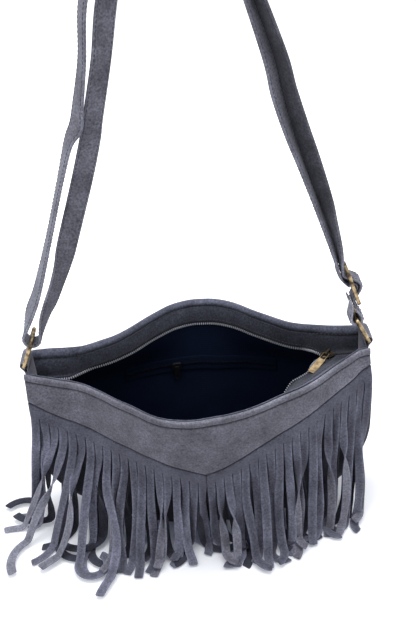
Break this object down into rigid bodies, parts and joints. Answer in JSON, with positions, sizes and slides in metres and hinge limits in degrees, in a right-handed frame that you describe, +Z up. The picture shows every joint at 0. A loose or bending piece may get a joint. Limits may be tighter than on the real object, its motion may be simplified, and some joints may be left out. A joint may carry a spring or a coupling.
{
  "type": "fringed suede bag",
  "caption": "Soft suede shoulder bag with a zipped mouth held open, a pointed front yoke, long cut fringe, ring tabs and a doubled buckle strap that it hangs by.",
  "frame": {"origin": "underside of the strap's top, where the bag hangs", "axes": "+Z up along the hanging bag, front with the fringe towards -Y, +X to the right as seen from the front"},
  "size_m": [0.3083, 0.1933, 0.5167],
  "materials": {
    "suede": "soft napped grey suede with a faint violet cast",
    "lining": "dark navy woven lining",
    "zip_tape": "grey woven zip tape",
    "zip_teeth": "fine grey coil teeth",
    "aged_brass": "antique brass, dark in the recesses"
  },
  "bodies": {
    "bag": {"front_panel": "suede", "back_panel": "suede", "gusset": "suede", "front_yoke": "suede", "fringe_left": "suede", "fringe_right": "suede", "facing_front": "suede", "facing_back": "suede", "tab_left": "suede", "tab_right": "suede", "strap": "suede", "strap_buckle": "aged_brass", "lining_front": "lining", "lining_back": "lining", "lining_edge": "lining", "pocket_bag": "lining", "zip_tape_front": "zip_tape", "zip_tape_back": "zip_tape", "pocket_zip": "zip_tape", "zip_teeth_front": "zip_teeth", "zip_teeth_back": "zip_teeth"},
    "main_slider": {"zip_slider": "aged_brass"},
    "main_pull": {"zip_pull": "aged_brass"},
    "left_ring": {"ring_left": "aged_brass"},
    "right_ring": {"ring_right": "aged_brass"},
    "pocket_slider": {"pocket_zip_slider": "aged_brass"},
    "pocket_pull": {"pocket_zip_pull": "aged_brass"}
  },
  "joints": [
    {"name": "zip_slide", "type": "slide", "parent": "bag", "child": "main_slider", "axis": [-0.9999, 0, -0.0164], "range_m": [0, 0.178]},
    {"name": "zip_pull_swing", "type": "hinge", "parent": "main_slider", "child": "main_pull", "pos_m": [0.1065, 0, -0.37067], "axis": [-0.788, 0.6157, 0], "range_deg": [0, 160]},
    {"name": "ring_left_swing", "type": "hinge", "parent": "bag", "child": "left_ring", "pos_m": [-0.139, 0, -0.35487], "axis": [0, 1, 0], "range_deg": [-7, 7]},
    {"name": "ring_right_swing", "type": "hinge", "parent": "bag", "child": "right_ring", "pos_m": [0.139, 0, -0.35487], "axis": [0, 1, 0], "range_deg": [-7, 7]},
    {"name": "pocket_zip_slide", "type": "hinge", "parent": "bag", "child": "pocket_slider", "pos_m": [0.002, -0.12001, -0.41087], "axis": [0, 0, 1], "range_deg": [-26, 13]},
    {"name": "pocket_pull_swing", "type": "hinge", "parent": "pocket_slider", "child": "pocket_pull", "pos_m": [-0.01751, 0.04373, -0.41037], "axis": [-0.993, -0.1183, 0], "range_deg": [0, 100]}
  ]
}
